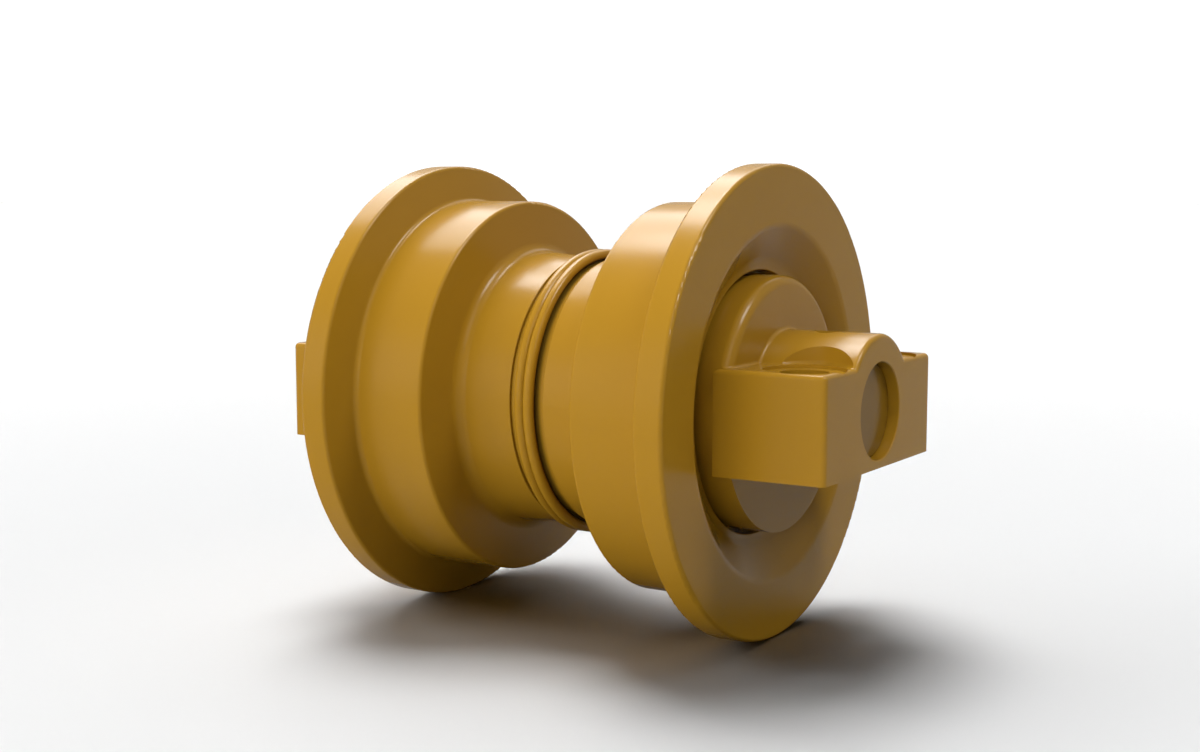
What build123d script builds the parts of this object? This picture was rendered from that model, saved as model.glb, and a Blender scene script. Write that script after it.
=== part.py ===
import math
import os

from build123d import *

# Single flange track roller, millimetres.
# Y is the shaft axis, Z points up, the origin is the middle of the roller on the shaft axis.
# Every turned piece is drawn as (radius, distance from the middle plane) and revolved about Y.
# Left pieces sit on the +Y side. Right pieces are the same pieces turned half round about Z.

# Roller shell
flange_radius = 120.0
flange_outer_face = 105.7
flange_width = 14.7
flange_slope = 16.5
tread_radius = 100.8
tread_width = 41.0
tread_draft = 7.5
hub_radius = 71.4
hub_rise = 2.2
rim_round = 2.0
flange_root_round = 3.0
hub_root_round = 6.0

# Dish in the outer face, down to the recess around the collar
dish_radius = 91.2
dish_slope = 33.0
dish_floor_width = 4.6
dish_floor_slope = 8.0
dish_edge_round = 6.0
dish_floor_round = 11.2
recess_gap = 2.4
recess_edge_round = 0.8

# Friction weld at the middle plane
relief_half_width = 9.9
relief_depth = 1.6
relief_edge_round = 0.5
curl_radius = 2.8
curl_spacing = 5.1
curl_lift = 0.3
curl_neck_width = 5.6
inner_curl_radius = 1.5
inner_curl_spacing = 2.8
inner_curl_height = 2.4
inner_curl_neck_width = 3.0

# Shaft
journal_radius = 30.0
shaft_end_radius = 23.95
shoulder_land = 3.0
thrust_step = 1.0
thrust_half_width = 11.0
shaft_end_depth = 5.5
shaft_edge_chamfer = 1.0
gallery_radius = 5.0
gallery_end = 44.0
feed_hole_radius = 4.0
feed_hole_place = 42.0

# Bushings
bushing_wall = 4.45
bushing_setback = 3.0
bushing_lead = 1.0
bushing_flange_reach = 9.0
bushing_flange_width = 6.0
lining_thickness = 1.5
oil_groove_width = 5.0
oil_groove_depth = 0.8
oil_groove_end_land = 8.0
dowel_radius = 3.0
dowel_sink = 8.0
cavity_gap = 3.0

# Floating seals, drawn on the turning side and mirrored about the seal plane for the fixed side
seal_sink = 21.2
seal_ramp = 12.0
toric_radius = 3.8
toric_reach = 8.0
toric_gap = 0.2
seal_bore_gap = 8.0
seal_tail_reach = 3.5
seal_lip_width = 2.9
seal_lip_reach = 3.6
seal_band_width = 3.8
seal_band_step = 1.0
seal_face_relief = 0.5
seal_tail_lip = 0.5
seal_tail_width = 0.7
seal_tail_end = 1.2
housing_end_gap = 1.8
housing_gap = 1.1

# End collar
block_sink = 3.5
block_half_width = 65.0
block_top = 23.2
block_bottom = 28.0
block_corner_round = 3.0
nose_radius = 37.8
nose_root_round = 1.8
disc_setback = 0.4
disc_stand = 3.0
disc_round = 5.3
collar_root_round = 1.5
collar_front_round = 2.5
bore_edge_chamfer = 0.5

# Mounting bolt holes in the collar ears
bolt_spacing_x = 86.6
bolt_spacing_y = 278.8
bolt_to_front = 20.6
bolt_hole_radius = 11.5
spot_face_radius = 20.0
spot_face_depth = 1.4
scallop_radius = 23.5
scallop_round = 2.0

# Collar pin, shaft ring and oil plug
collar_pin_radius = 6.0
collar_pin_length = 20.0
collar_pin_bottom = 13.5
collar_pin_to_disc = 22.6
collar_pin_chamfer = 0.8
o_ring_radius = 1.75
o_ring_to_shoulder = 15.0
o_ring_groove_width = 4.4
plug_radius = 8.0
plug_length = 14.0
plug_sink = 1.5
plug_socket = 8.0
plug_socket_depth = 8.0

# Clearances
running_clearance = 0.05
end_play = 0.3
slip_clearance = 0.05
collar_bore_clearance = 0.05
pin_end_clearance = 0.5
cut_overrun = 1.0
same_place = 0.01

# Values that follow from the ones above
flange_inner_edge = flange_outer_face - flange_width
flange_rise = (flange_radius - tread_radius) * math.tan(math.radians(flange_slope))
flange_root = flange_inner_edge - flange_rise
tread_inner_edge = flange_root - tread_width
hub_top_radius = hub_radius + hub_rise
tread_foot = tread_inner_edge - (tread_radius - hub_top_radius) * math.tan(math.radians(tread_draft))
relief_radius = hub_radius - relief_depth
disc_radius = block_half_width - disc_setback
recess_radius = disc_radius + recess_gap
toric_setback = seal_lip_width + toric_radius + toric_gap
seal_ring_length = toric_setback + seal_tail_reach
housing_depth = toric_setback + toric_radius + housing_end_gap
seal_plane = flange_outer_face - seal_sink
recess_floor = seal_plane - housing_gap
shaft_shoulder = seal_plane + housing_depth + shoulder_land
bushing_end = seal_plane - housing_depth - bushing_setback
bushing_seat = thrust_half_width + end_play + bushing_flange_width
lining_bore = journal_radius + running_clearance
lining_radius = lining_bore + lining_thickness
bushing_radius = lining_radius + bushing_wall
bushing_flange_radius = bushing_radius + bushing_flange_reach
dowel_circle_radius = bushing_radius + bushing_flange_reach / 2
cavity_radius = bushing_flange_radius + cavity_gap
thrust_radius = bushing_flange_radius - thrust_step
collar_bore = shaft_end_radius + collar_bore_clearance
bolt_x = bolt_spacing_x / 2
bolt_y = bolt_spacing_y / 2
collar_front = bolt_y + bolt_to_front
block_back = flange_outer_face - block_sink
disc_face = flange_outer_face + disc_stand
shaft_end = collar_front - shaft_end_depth
collar_pin_place = disc_face + collar_pin_to_disc
o_ring_place = shaft_shoulder + o_ring_to_shoulder
seal_ring_bore_radius = journal_radius + seal_bore_gap
toric_circle_radius = seal_ring_bore_radius + toric_reach
seal_lip_radius = toric_circle_radius + seal_lip_reach
toric_place = seal_plane - toric_setback
ramp_rate = math.tan(math.radians(seal_ramp))
ramp_offset = toric_radius / math.cos(math.radians(seal_ramp))


def turn(points, rounds=()):
    # revolve a closed outline, first rounding the corners listed as (point, radius)
    outline = make_face(Polyline(*points, close=True))
    for point, radius in rounds:
        corner = outline.vertices().sort_by_distance(Vector(*point))[0]
        outline = fillet(corner, radius)
    return revolve(outline, Axis.Y, 360)


def to_right(shape):
    return Rot(0, 0, 180) * shape


def flip_to_fixed(points):
    # mirror turned outline points about the plane where the two seal rings meet
    return [(radius, 2 * seal_plane - place) for radius, place in points]


def ramp(place, offset):
    # radius of a seal ramp at a place along the axis, offset from the toric centre line
    return toric_circle_radius + offset + (place - toric_place) * ramp_rate


def post(x, y, bottom, top, radius):
    return Pos(x, y, (bottom + top) / 2) * Cylinder(radius, top - bottom)


def rod(start, end, radius):
    return Pos(0, (start + end) / 2, 0) * Rot(90, 0, 0) * Cylinder(radius, end - start)


def dowel_row(start, end, radius):
    pins = [Pos(side * dowel_circle_radius, 0, 0) * rod(start, end, radius) for side in (1, -1)]
    return pins[0] + pins[1]


def shell():
    housing_bottom = seal_plane - housing_depth
    dish_lip = dish_edge_round * math.tan(math.radians(dish_slope / 2))
    dish_start = dish_radius - dish_lip
    steep = math.tan(math.radians(dish_slope))
    shallow = math.tan(math.radians(dish_floor_slope))
    knee_radius = recess_radius + dish_floor_width
    knee_place = flange_outer_face - (dish_start - knee_radius) * steep
    knee = (knee_radius, knee_place)
    relief_corner = (relief_radius, relief_half_width)
    relief_edge = (hub_radius, relief_half_width)
    hub_foot = (hub_top_radius, tread_foot)
    tread_edge = (tread_radius, tread_inner_edge)
    flange_foot = (tread_radius, flange_root)
    flange_back = (flange_radius, flange_inner_edge)
    flange_front = (flange_radius, flange_outer_face)
    dish_edge = (dish_start, flange_outer_face)
    recess_lip = (recess_radius, knee_place - dish_floor_width * shallow)
    body = turn(
        [
            (cavity_radius, 0),
            (relief_radius, 0),
            relief_corner,
            relief_edge,
            hub_foot,
            tread_edge,
            flange_foot,
            flange_back,
            flange_front,
            dish_edge,
            knee,
            recess_lip,
            (recess_radius, recess_floor),
            (ramp(recess_floor, ramp_offset), recess_floor),
            (ramp(housing_bottom, ramp_offset), housing_bottom),
            (bushing_radius, housing_bottom),
            (bushing_radius, bushing_seat),
            (cavity_radius, bushing_seat),
        ],
        [
            (relief_edge, relief_edge_round),
            (hub_foot, hub_root_round),
            (tread_edge, rim_round),
            (flange_foot, flange_root_round),
            (flange_back, rim_round),
            (flange_front, rim_round),
            (dish_edge, dish_edge_round),
            (knee, dish_floor_round),
            (recess_lip, recess_edge_round),
        ],
    )
    hole_end = bushing_seat + dowel_sink + pin_end_clearance
    return body - dowel_row(bushing_seat - cut_overrun, hole_end, dowel_radius)


def weld_curls():
    # metal squeezed out of the joint, curled to both sides over the relief
    centre = relief_radius + curl_lift + curl_radius
    section = Pos((relief_radius + centre) / 2, 0, 0) * Rectangle(centre - relief_radius, curl_neck_width)
    for side in (1, -1):
        section = section + Pos(centre, side * curl_spacing / 2, 0) * Circle(curl_radius)
    return revolve(section, Axis.Y, 360)


def inner_weld_curls():
    centre = cavity_radius - inner_curl_height + inner_curl_radius
    neck_length = cavity_radius - centre
    section = Pos(centre + neck_length / 2, 0, 0) * Rectangle(neck_length, inner_curl_neck_width)
    for side in (1, -1):
        section = section + Pos(centre, side * inner_curl_spacing / 2, 0) * Circle(inner_curl_radius)
    section = section & Pos(cavity_radius / 2, 0, 0) * Rectangle(cavity_radius, cavity_radius)
    return revolve(section, Axis.Y, 360)


def bushing():
    flange_start = thrust_half_width + end_play + lining_thickness
    body = turn(
        [
            (lining_radius, flange_start),
            (bushing_flange_radius, flange_start),
            (bushing_flange_radius, bushing_seat),
            (bushing_radius, bushing_seat),
            (bushing_radius, bushing_end - bushing_lead),
            (bushing_radius - bushing_lead, bushing_end),
            (lining_radius, bushing_end),
        ]
    )
    return body - dowel_row(flange_start - cut_overrun, bushing_seat + cut_overrun, dowel_radius)


def lining():
    start = thrust_half_width + end_play
    body = turn(
        [
            (lining_bore, start),
            (bushing_flange_radius, start),
            (bushing_flange_radius, start + lining_thickness),
            (lining_radius, start + lining_thickness),
            (lining_radius, bushing_end),
            (lining_bore, bushing_end),
        ]
    )
    groove_start = start + oil_groove_end_land
    groove_end = bushing_end - oil_groove_end_land
    groove = Box(oil_groove_width, groove_end - groove_start, 2 * (lining_bore + oil_groove_depth))
    return body - Pos(0, (groove_start + groove_end) / 2, 0) * groove


def bushing_dowels():
    start = thrust_half_width + end_play + lining_thickness
    return dowel_row(start, bushing_seat + dowel_sink, dowel_radius)


def seal_ring_outline():
    back = seal_plane - seal_ring_length
    lip_back = seal_plane - seal_lip_width
    band = seal_lip_radius - seal_band_width
    tail = ramp(back + seal_tail_end, -ramp_offset)
    return [
        (seal_ring_bore_radius, back),
        (tail + seal_tail_lip, back),
        (tail + seal_tail_lip, back + seal_tail_width),
        (tail, back + seal_tail_end),
        (ramp(lip_back, -ramp_offset), lip_back),
        (seal_lip_radius, lip_back),
        (seal_lip_radius, seal_plane),
        (band, seal_plane),
        (band - seal_band_step, seal_plane - seal_face_relief),
        (seal_ring_bore_radius, seal_plane - seal_face_relief),
    ]


def turning_seal_ring():
    return turn(seal_ring_outline())


def fixed_seal_ring():
    return turn(flip_to_fixed(seal_ring_outline()))


def toric(place):
    return Pos(0, place, 0) * Rot(90, 0, 0) * Torus(toric_circle_radius, toric_radius)


def shaft():
    body = turn(
        [
            (0, -shaft_end),
            (shaft_end_radius, -shaft_end),
            (shaft_end_radius, -shaft_shoulder),
            (journal_radius, -shaft_shoulder),
            (journal_radius, -thrust_half_width),
            (thrust_radius, -thrust_half_width),
            (thrust_radius, thrust_half_width),
            (journal_radius, thrust_half_width),
            (journal_radius, shaft_shoulder),
            (shaft_end_radius, shaft_shoulder),
            (shaft_end_radius, shaft_end),
            (0, shaft_end),
        ]
    )
    rims = body.edges().filter_by(GeomType.CIRCLE).group_by(Axis.Y)
    body = chamfer(rims[0] + rims[-1], shaft_edge_chamfer)
    body = body - rod(-gallery_end, shaft_end, gallery_radius)
    body = body - rod(shaft_end - plug_length - plug_sink, shaft_end, plug_radius)
    groove_bottom = collar_bore - 2 * o_ring_radius
    for side in (1, -1):
        body = body - post(0, side * feed_hole_place, 0, thrust_radius, feed_hole_radius)
        low = side * o_ring_place - o_ring_groove_width / 2
        high = side * o_ring_place + o_ring_groove_width / 2
        ring = rod(low, high, thrust_radius) - rod(low, high, groove_bottom)
        body = body - ring
        pin_floor = collar_pin_bottom - pin_end_clearance
        body = body - post(0, side * collar_pin_place, pin_floor, thrust_radius, collar_pin_radius)
    return body


def o_ring(side):
    centre = collar_bore - o_ring_radius
    return Pos(0, side * o_ring_place, 0) * Rot(90, 0, 0) * Torus(centre, o_ring_radius)


def collar_pin():
    top = collar_pin_bottom + collar_pin_length
    pin = post(0, collar_pin_place, collar_pin_bottom, top, collar_pin_radius)
    return chamfer(pin.edges().filter_by(GeomType.CIRCLE), collar_pin_chamfer)


def oil_plug():
    start = shaft_end - plug_sink - plug_length
    end = shaft_end - plug_sink
    plug = rod(start, end, plug_radius)
    plug = chamfer(plug.edges().filter_by(GeomType.CIRCLE), plug_sink / 2)
    socket = extrude(RegularPolygon(plug_socket / 2, 6, major_radius=False), plug_socket_depth)
    return plug - Pos(0, end, 0) * Rot(90, 0, 0) * socket


def collar_block():
    length = collar_front - block_back
    height = block_top + block_bottom
    middle = (block_top - block_bottom) / 2
    block = Pos(0, block_back + length / 2, middle) * Box(2 * block_half_width, length, height)
    return fillet(block.edges().filter_by(Axis.Z).group_by(Axis.Y)[-1], block_corner_round)


def collar_nose():
    # the rounded nose over the shaft, with a small flare where it leaves the disc
    root = (nose_radius, disc_face)
    full = turn(
        [
            (0, block_back),
            (nose_radius + 2 * nose_root_round, block_back),
            (nose_radius + 2 * nose_root_round, disc_face),
            root,
            (nose_radius, collar_front),
            (0, collar_front),
        ],
        [(root, nose_root_round)],
    )
    above = Pos(0, collar_front / 2, nose_radius) * Box(4 * nose_radius, 2 * collar_front, 2 * nose_radius)
    return full & above


def collar_disc():
    # the disc has a large round above the ears and a sharp rim below them
    back = seal_plane + housing_gap
    front = (disc_radius, disc_face)
    outline = [(0, back), (disc_radius, back), front, (0, disc_face)]
    size = 2 * disc_radius
    upper = turn(outline, [(front, disc_round)]) & Pos(0, disc_face, size / 2) * Box(2 * size, size, size)
    lower = turn(outline) & Pos(0, disc_face, -size / 2) * Box(2 * size, size, size)
    return upper + lower


def collar_bores():
    housing_bottom = seal_plane - housing_depth
    mouth = seal_plane - housing_gap
    seat = flip_to_fixed(
        [
            (0, mouth),
            (ramp(mouth, ramp_offset), mouth),
            (ramp(housing_bottom, ramp_offset), housing_bottom),
            (journal_radius + slip_clearance, housing_bottom),
            (journal_radius + slip_clearance, 2 * seal_plane - shaft_shoulder),
            (0, 2 * seal_plane - shaft_shoulder),
        ]
    )
    bore = turn(
        [
            (0, shaft_shoulder - cut_overrun),
            (collar_bore, shaft_shoulder - cut_overrun),
            (collar_bore, collar_front - bore_edge_chamfer),
            (collar_bore + bore_edge_chamfer, collar_front),
            (0, collar_front),
        ]
    )
    return turn(seat) + bore


def ear_cuts(side):
    # one ear's bolt hole, its spot face and the scallop that clears the bolt head
    x = side * bolt_x
    scallop = post(x, bolt_y, block_top, block_top + nose_radius, scallop_radius)
    scallop = fillet(scallop.edges().group_by(Axis.Z)[0], scallop_round)
    spot = post(x, bolt_y, block_top - spot_face_depth, block_top + cut_overrun, spot_face_radius)
    hole = post(x, bolt_y, -block_bottom - cut_overrun, block_top, bolt_hole_radius)
    return scallop + spot + hole


def collar_rounds(body):
    # blend the ears into the nose and disc, then round the whole front outline in one run
    level = body.edges().filter_by_position(Axis.Z, block_top - same_place, block_top + same_place)
    roots = level.filter_by_position(Axis.Y, disc_face - same_place, disc_face + same_place)
    body = fillet(roots, collar_root_round)
    outline = body.faces().sort_by(Axis.Y)[-1].edges()
    upper = [edge for edge in outline if edge.center().Z > block_top - collar_root_round]
    return fillet(upper, collar_front_round)


def ear_back_corners():
    # what is taken off the ears' upper back corners to round them, beyond the disc
    width = 2 * block_half_width + cut_overrun
    size = block_corner_round + cut_overrun
    middle = (block_corner_round - cut_overrun) / 2
    corner = Pos(0, block_back + middle, block_top - middle) * Box(width, size, size)
    centre = Pos(0, block_back + block_corner_round, block_top - block_corner_round)
    corner = corner - centre * Rot(0, 90, 0) * Cylinder(block_corner_round, width)
    return corner - rod(block_back - cut_overrun, block_back + block_corner_round, disc_radius)


def collar():
    body = collar_rounds(collar_block() + collar_nose() + collar_disc())
    body = body - ear_back_corners()
    body = body - collar_bores()
    body = body - ear_cuts(1) - ear_cuts(-1)
    return body - post(0, collar_pin_place, 0, 2 * nose_radius, collar_pin_radius)


def save(shape, name):
    shape.label = name
    export_step(shape, f"parts/{name}.step")


def main():
    os.makedirs("parts", exist_ok=True)
    save(shaft(), "shaft")
    save(oil_plug(), "oil_plug")
    save(weld_curls(), "weld_curls")
    save(inner_weld_curls(), "inner_weld_curls")
    save(o_ring(1), "left_shaft_o_ring")
    save(o_ring(-1), "right_shaft_o_ring")
    pairs = {
        "shell": shell(),
        "bushing": bushing(),
        "bushing_lining": lining(),
        "bushing_dowels": bushing_dowels(),
        "turning_seal_ring": turning_seal_ring(),
        "turning_toric": toric(toric_place),
        "fixed_seal_ring": fixed_seal_ring(),
        "fixed_toric": toric(2 * seal_plane - toric_place),
        "collar": collar(),
        "collar_pin": collar_pin(),
    }
    for name, piece in pairs.items():
        save(piece, "left_" + name)
        save(to_right(piece), "right_" + name)


main()
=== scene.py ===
import math

import bpy
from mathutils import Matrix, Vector


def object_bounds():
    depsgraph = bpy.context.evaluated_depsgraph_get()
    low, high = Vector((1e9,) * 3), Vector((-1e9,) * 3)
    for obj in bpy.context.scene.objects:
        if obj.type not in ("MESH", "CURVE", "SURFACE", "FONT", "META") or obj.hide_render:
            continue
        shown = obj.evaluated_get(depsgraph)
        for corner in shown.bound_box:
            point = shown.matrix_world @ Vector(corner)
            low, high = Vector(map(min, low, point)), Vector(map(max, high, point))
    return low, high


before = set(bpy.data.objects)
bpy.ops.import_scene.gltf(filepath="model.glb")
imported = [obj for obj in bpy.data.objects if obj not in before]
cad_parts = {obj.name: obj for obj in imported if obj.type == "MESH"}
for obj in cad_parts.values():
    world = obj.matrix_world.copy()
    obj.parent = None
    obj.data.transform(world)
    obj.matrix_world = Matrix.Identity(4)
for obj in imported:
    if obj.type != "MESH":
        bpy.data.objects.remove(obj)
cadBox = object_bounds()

print("frame loaded with", len(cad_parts), "nodes")


class Nodes:  # one node tree, filled through add
    def __init__(self, owner):
        owner.use_nodes = True
        self.tree = owner.node_tree
        self.tree.nodes.clear()

    def add(self, kind, settings, sockets, output=0):
        # settings go in first, because some of them change which sockets there are
        node = self.tree.nodes.new(kind)
        for name, value in settings.items():
            setattr(node, name, value)
        for name, value in sockets.items():
            if isinstance(value, Wire):
                self.tree.links.new(value.socket, node.inputs[name])
            else:
                node.inputs[name].default_value = value
        return Wire(self, node, output)


class Wire:  # one output of a node, which shader maths is written with
    def __init__(self, nodes, node, output):
        self.nodes = nodes
        self.node = node
        self.socket = node.outputs[output] if len(node.outputs) else None

    def maths(self, operation, first, second=0.0):
        return self.nodes.add("ShaderNodeMath", {"operation": operation}, {0: first, 1: second})

    def __add__(self, other):
        return self.maths("ADD", self, other)

    def __radd__(self, other):
        return self.maths("ADD", other, self)

    def __sub__(self, other):
        return self.maths("SUBTRACT", self, other)

    def __rsub__(self, other):
        return self.maths("SUBTRACT", other, self)

    def __mul__(self, other):
        return self.maths("MULTIPLY", self, other)

    def __rmul__(self, other):
        return self.maths("MULTIPLY", other, self)

    def __gt__(self, limit):  # 1 where the value is above the limit, else 0
        return self.maths("GREATER_THAN", self, limit)

    def __lt__(self, limit):
        return self.maths("LESS_THAN", self, limit)

    def __abs__(self):
        return self.maths("ABSOLUTE", self)

    def squareRoot(self):
        return self.maths("SQRT", self)


# What the finishes are made of

def objectPlace(nodes):
    return nodes.add("ShaderNodeTexCoord", {}, {}, "Object")


def noise(nodes, place, perMetre, layers):
    return nodes.add("ShaderNodeTexNoise", {}, {"Vector": place, "Scale": perMetre, "Detail": layers})


# A Mix node's sockets go by number: its share is 0, and each kind of value has its own pair

def mixColour(nodes, share, first, second):
    return nodes.add("ShaderNodeMix", {"data_type": "RGBA"}, {0: share, 6: first, 7: second}, 2)


def bump(nodes, height, distance, under=None):
    sockets = {"Height": height, "Distance": distance}
    if under is not None:
        sockets["Normal"] = under
    return nodes.add("ShaderNodeBump", {}, sockets)


def shaftPlace(nodes, place):
    # distance from the shaft axis, and distance from the middle plane
    split = nodes.add("ShaderNodeSeparateXYZ", {}, {0: place}).node
    x, y, z = (Wire(nodes, split, axis) for axis in range(3))
    return (x * x + z * z).squareRoot(), abs(y)


# Satin paint sprayed over forged steel, with a darker copy on the shaft's ends as painted shade for their
# recess in the bore

paintValues = {
    "light": (0.310, 0.159, 0.0102, 1),
    "dark": (0.296, 0.152, 0.0096, 1),
    "patches": (14, 4),  # noise: how many a metre, and in how many layers
    "clouds": (42, 3),
    "forging": (95, 3),
    "forgingHeight": 0.00003,
    "peel": (620, 1),
    "peelHeight": 0.000012,
    "roughness": 0.26,
    "roughnessSpread": 0.05,
    "shine": {"Specular IOR Level": 0.11, "Coat Weight": 0.22, "Coat Roughness": 0.18},
}
# the shaft's ends: the same paint darkened, as painted shade of their recess in the bore
shadedEndPaintValues = dict(paintValues, light=(0.180, 0.092, 0.0062, 1), dark=(0.168, 0.086, 0.0056, 1))


def paintLook(nodes, values=paintValues):
    place = objectPlace(nodes)
    patches = noise(nodes, place, *values["patches"])
    clouds = noise(nodes, place, *values["clouds"])
    forging = bump(nodes, noise(nodes, place, *values["forging"]), values["forgingHeight"])
    peel = noise(nodes, place, *values["peel"])
    return {
        "Base Color": mixColour(nodes, patches, values["dark"], values["light"]),
        "Roughness": values["roughness"] + (clouds - 0.5) * values["roughnessSpread"],
        "Normal": bump(nodes, peel, values["peelHeight"], forging),
    }


# Metal turned on a lathe, with its fine rings round the shaft axis

steelValues = {
    "light": (0.56, 0.56, 0.57, 1),
    "dark": (0.42, 0.42, 0.43, 1),
    "rings": (2600, 2),
    "ringHeight": 0.000010,
    "roughness": 0.28,
    "roughnessSpread": 0.16,
}
bronzeValues = dict(steelValues, light=(0.66, 0.41, 0.17, 1), dark=(0.50, 0.29, 0.11, 1), roughness=0.33)
ironValues = dict(steelValues, light=(0.36, 0.36, 0.37, 1), dark=(0.26, 0.26, 0.27, 1), roughness=0.20)
zincValues = dict(steelValues, light=(0.62, 0.62, 0.60, 1), dark=(0.50, 0.50, 0.49, 1), roughness=0.36)


def turnedLook(nodes, values):
    radius, along = shaftPlace(nodes, objectPlace(nodes))
    across = nodes.add("ShaderNodeCombineXYZ", {}, {"X": radius, "Y": along})
    rings = noise(nodes, across, *values["rings"])
    return {
        "Base Color": mixColour(nodes, rings, values["dark"], values["light"]),
        "Roughness": values["roughness"] + (rings - 0.5) * values["roughnessSpread"],
        "Normal": bump(nodes, rings, values["ringHeight"]),
        "Metallic": 1.0,
    }


# Black rubber of the seals' rings

rubberValues = {
    "light": (0.030, 0.030, 0.032, 1),
    "dark": (0.016, 0.016, 0.017, 1),
    "bloom": (60, 3),
    "grain": (900, 3),
    "grainHeight": 0.000015,
    "roughness": 0.48,
    "roughnessSpread": 0.18,
}


def rubberLook(nodes):
    values = rubberValues
    place = objectPlace(nodes)
    bloom = noise(nodes, place, *values["bloom"])
    grain = noise(nodes, place, *values["grain"])
    return {
        "Base Color": mixColour(nodes, bloom, values["dark"], values["light"]),
        "Roughness": values["roughness"] + bloom * values["roughnessSpread"],
        "Normal": bump(nodes, grain, values["grainHeight"]),
    }


# Where a painted piece is machined and stays bare

bareValues = {
    "sealSeat": 0.0555,  # the shell inside this radius
    "shellInside": (0.068, 0.0833),  # and inside the first radius, nearer the middle than the second figure
    "collarSeat": 0.0856,  # the collar nearer the middle than this
    "shaftSide": 0.1532,  # all of the shaft but its end faces
}


def partBareLook(nodes, isBare, values=paintValues):
    paint = paintLook(nodes, values)
    steel = turnedLook(nodes, steelValues)
    bare = isBare(*shaftPlace(nodes, objectPlace(nodes)))
    normals = {0: bare, 4: paint["Normal"], 5: steel["Normal"]}
    return {
        "Base Color": mixColour(nodes, bare, paint["Base Color"], steel["Base Color"]),
        "Roughness": nodes.add("ShaderNodeMix", {}, {0: bare, 2: paint["Roughness"], 3: steel["Roughness"]}),
        "Normal": nodes.add("ShaderNodeMix", {"data_type": "VECTOR"}, normals, 1),
        "Metallic": bare,
    }


def shellBare(radius, along):
    inside, inner = bareValues["shellInside"]
    deep = (radius < inside) * (along < inner)
    return 1 - (1 - deep) * (1 - (radius < bareValues["sealSeat"]))


# The groove beside the weld, darkened with painted shade towards its floor

grooveShadeValues = {
    "colour": (0.105, 0.057, 0.006, 1),
    "deep": 0.0709,  # the radius below which the painted shade is darkest
    "mouth": 0.0722,  # the radius above which there is no painted shade
    "near": 0.0060,  # the same two, as distances from the middle plane
    "far": 0.0082,
}


def grooveShadeLook(nodes, look):
    values = grooveShadeValues
    radius, along = shaftPlace(nodes, objectPlace(nodes))
    outward = {"Value": radius, "From Min": values["deep"], "From Max": values["mouth"]}
    sideways = {"Value": along, "From Min": values["near"], "From Max": values["far"]}
    low, near = (1 - nodes.add("ShaderNodeMapRange", {}, limits) for limits in (outward, sideways))
    outside = radius > bareValues["shellInside"][0]
    # painted shade in the groove, mixed over the paint
    look["Base Color"] = mixColour(nodes, low * near * outside, look["Base Color"], values["colour"])
    return look


def shellLook(nodes):
    return grooveShadeLook(nodes, partBareLook(nodes, shellBare))


def weldLook(nodes):
    return grooveShadeLook(nodes, paintLook(nodes))


def collarLook(nodes):
    return partBareLook(nodes, lambda radius, along: along < bareValues["collarSeat"])


def shaftLook(nodes):
    # the end faces take the darker copy, which is painted shade
    return partBareLook(nodes, lambda radius, along: along < bareValues["shaftSide"], shadedEndPaintValues)


def makeFinish(name, look, constants={}):
    material = bpy.data.materials.new(name)
    nodes = Nodes(material)
    shader = nodes.add("ShaderNodeBsdfPrincipled", {}, {**look(nodes), **constants})
    nodes.add("ShaderNodeOutputMaterial", {}, {"Surface": shader})
    return material


shine = paintValues["shine"]
finishes = {
    "shell": makeFinish("shell paint", shellLook, shine),
    "collar": makeFinish("collar paint", collarLook, shine),
    "shaft": makeFinish("shaft paint", shaftLook, shine),
    "weld": makeFinish("weld paint", weldLook, shine),
    "steel": makeFinish("turned steel", lambda nodes: turnedLook(nodes, steelValues)),
    "bronze": makeFinish("turned bronze", lambda nodes: turnedLook(nodes, bronzeValues)),
    "iron": makeFinish("lapped iron", lambda nodes: turnedLook(nodes, ironValues)),
    "zinc": makeFinish("zinc plate", lambda nodes: turnedLook(nodes, zincValues)),
    "rubber": makeFinish("black rubber", rubberLook),
}

finishOf = {
    "shaft": "shaft",
    "oil_plug": "zinc",
    "weld_curls": "weld",
    "inner_weld_curls": "steel",
    "collar": "collar",
    "collar_pin": "steel",
    "shaft_o_ring": "rubber",
    "fixed_seal_ring": "iron",
    "fixed_toric": "rubber",
    "shell": "shell",
    "bushing": "steel",
    "bushing_lining": "bronze",
    "bushing_dowels": "steel",
    "turning_seal_ring": "iron",
    "turning_toric": "rubber",
}

for name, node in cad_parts.items():
    kind = name.removeprefix("left_").removeprefix("right_")
    for slot in node.material_slots:
        slot.material = finishes[finishOf[kind]]
print("every node has its finish")


# The studio

floorValues = {
    "size": 60.0,
    # near the roller the floor is darker, as painted shade; farther off it pales
    "near": (0.684, 0.690, 0.695, 1),
    "far": (0.77, 0.77, 0.77, 1),
    "nearReach": 0.35,
    "farReach": 1.3,
    "thrown": (0.38, 0.38, 0.38, 1),
    "roughness": 0.9,
}


def floorLook(nodes):
    # it is darker near the roller, a painted shade that pales with distance, and throws less light on the
    # roller than it seems to
    values = floorValues
    reach = nodes.add("ShaderNodeVectorMath", {"operation": "LENGTH"}, {0: objectPlace(nodes)}, "Value")
    limits = {"Value": reach, "From Min": values["nearReach"], "From Max": values["farReach"]}
    pale = mixColour(nodes, nodes.add("ShaderNodeMapRange", {}, limits), values["near"], values["far"])
    seen = nodes.add("ShaderNodeLightPath", {}, {}, "Is Camera Ray")
    return {"Base Color": mixColour(nodes, seen, values["thrown"], pale)}


def makeFloor():
    bpy.ops.object.select_all(action="DESELECT")
    bpy.ops.mesh.primitive_plane_add(size=floorValues["size"], location=(0, 0, cadBox[0].z))
    floor = bpy.context.object
    floor.name = "floor"
    matt = {"Roughness": floorValues["roughness"], "Specular IOR Level": 0.0}
    floor.data.materials.append(makeFinish("pale floor", floorLook, matt))
    return floor


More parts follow.
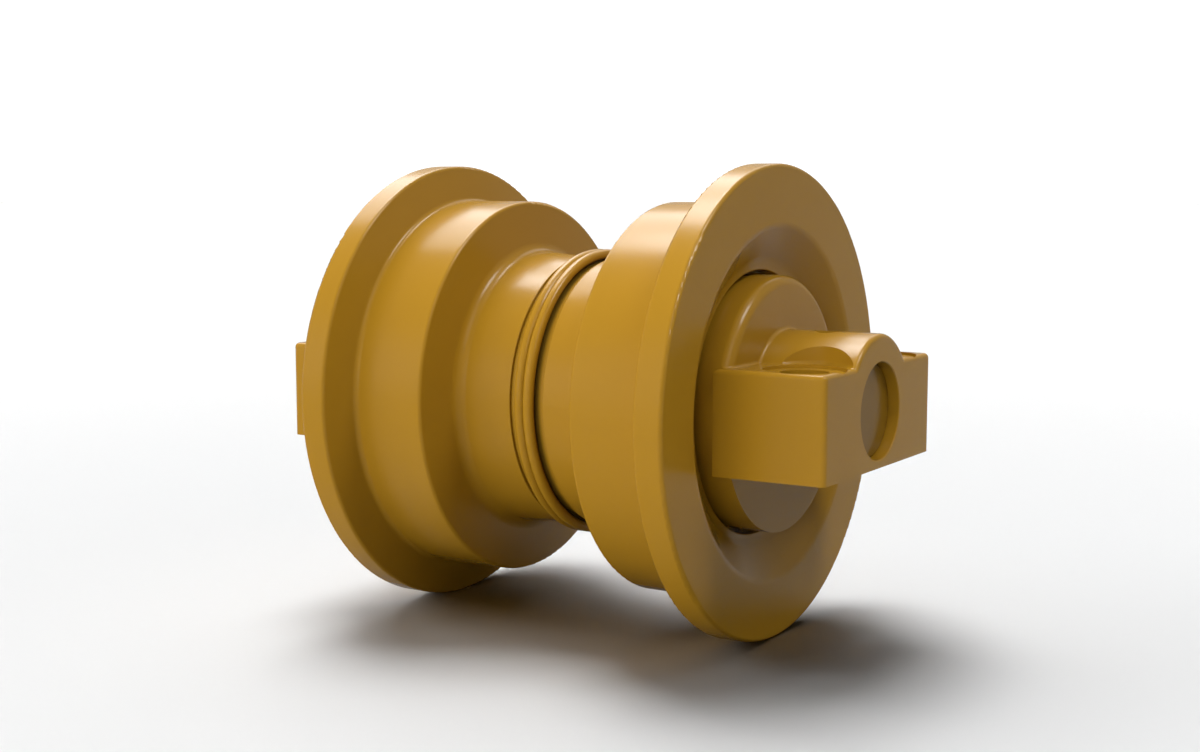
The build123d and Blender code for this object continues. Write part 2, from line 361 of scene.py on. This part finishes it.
def toward(azimuth, elevation):
    # the direction from the roller, where azimuth 0 is -Y and 90 is +X
    level = math.cos(math.radians(elevation))
    turned = math.radians(azimuth)
    return Vector((math.sin(turned) * level, -math.cos(turned) * level, math.sin(math.radians(elevation))))


# Azimuth, elevation, strength, angular size, what it lights, and whether paint mirrors it.
# All angles are in degrees.
lampValues = {  # azimuth, elevation, strength and angular size, in degrees
    "overhead": (137, 68, 2.3, 30, "all", "mirrored"),
    "ceiling": (0, 90, 0.3, 40, "all", "mirrored"),
    "backHigh": (143, 46, 1.55, 40, "all", "mirrored"),
    "backSide": (105, 42, 0.45, 36, "all", "mirrored"),
    "floorLow": (200, 24, 0.9, 40, "floor", "matt"),
    "frontHigh": (12, 56, 1.4, 20, "roller", "mirrored"),
    "frontRight": (40, 30, 0.4, 30, "roller", "matt"),
    "frontLeft": (322, 40, 0.3, 30, "roller", "mirrored"),
    "sideLow": (272, 5, 3.2, 50, "roller", "matt"),
    "cornerLow": (242, 5, 1.8, 50, "roller", "matt"),
    "backLow": (212, 5, 1.7, 40, "roller", "matt"),
}


def reachOf(floor, state):
    # lamps given this collection light the floor alone or everything else
    collection = bpy.data.collections.new("floor " + state.lower())
    collection.objects.link(floor)
    collection.collection_objects[0].light_linking.link_state = state
    return collection


def makeLamp(name, azimuth, elevation, strength, size, receivers, mirrored):
    data = bpy.data.lights.new(name, "SUN")
    data.energy = strength
    data.angle = math.radians(size)
    lamp = bpy.data.objects.new(name, data)
    lamp.rotation_euler = toward(azimuth, elevation).to_track_quat("Z", "Y").to_euler()
    lamp.light_linking.receiver_collection = receivers
    lamp.visible_glossy = mirrored
    bpy.context.scene.collection.objects.link(lamp)


roomValues = {"mirrored": 0.45, "seen": 1.2}


def makeRoom():
    # a white room to look at, which only reflections get a little light from
    world = bpy.data.worlds.new("white room")
    nodes = Nodes(world)
    seen = nodes.add("ShaderNodeLightPath", {}, {}, "Is Camera Ray")
    mirrored = Wire(nodes, seen.node, "Is Glossy Ray")
    strength = seen * roomValues["seen"] + mirrored * roomValues["mirrored"]
    room = nodes.add("ShaderNodeBackground", {}, {"Color": (1, 1, 1, 1), "Strength": strength})
    nodes.add("ShaderNodeOutputWorld", {}, {"Surface": room})
    bpy.context.scene.world = world


# The camera that the photograph's circles give
cameraValues = {
    "azimuth": -58.048,
    "elevation": 6.32,
    "distance": 0.89554,
    "target": (0.0, 0.000766, 0.007784),
    "lens": 50.12,
    "sensor": 36.0,
}


def makeCamera():
    back = toward(cameraValues["azimuth"], cameraValues["elevation"])
    data = bpy.data.cameras.new("camera")
    data.lens = cameraValues["lens"]
    data.sensor_width = cameraValues["sensor"]
    camera = bpy.data.objects.new("camera", data)
    camera.location = Vector(cameraValues["target"]) + back * cameraValues["distance"]
    camera.rotation_euler = back.to_track_quat("Z", "Y").to_euler()
    bpy.context.scene.collection.objects.link(camera)
    bpy.context.scene.camera = camera


floor = makeFloor()
reaches = {"all": None, "roller": reachOf(floor, "EXCLUDE"), "floor": reachOf(floor, "INCLUDE")}
for name, (*aim, reach, look) in lampValues.items():
    makeLamp(name, *aim, reaches[reach], look == "mirrored")
makeRoom()
makeCamera()
bpy.context.scene.view_settings.view_transform = "Standard"
print("floor, light and camera made")
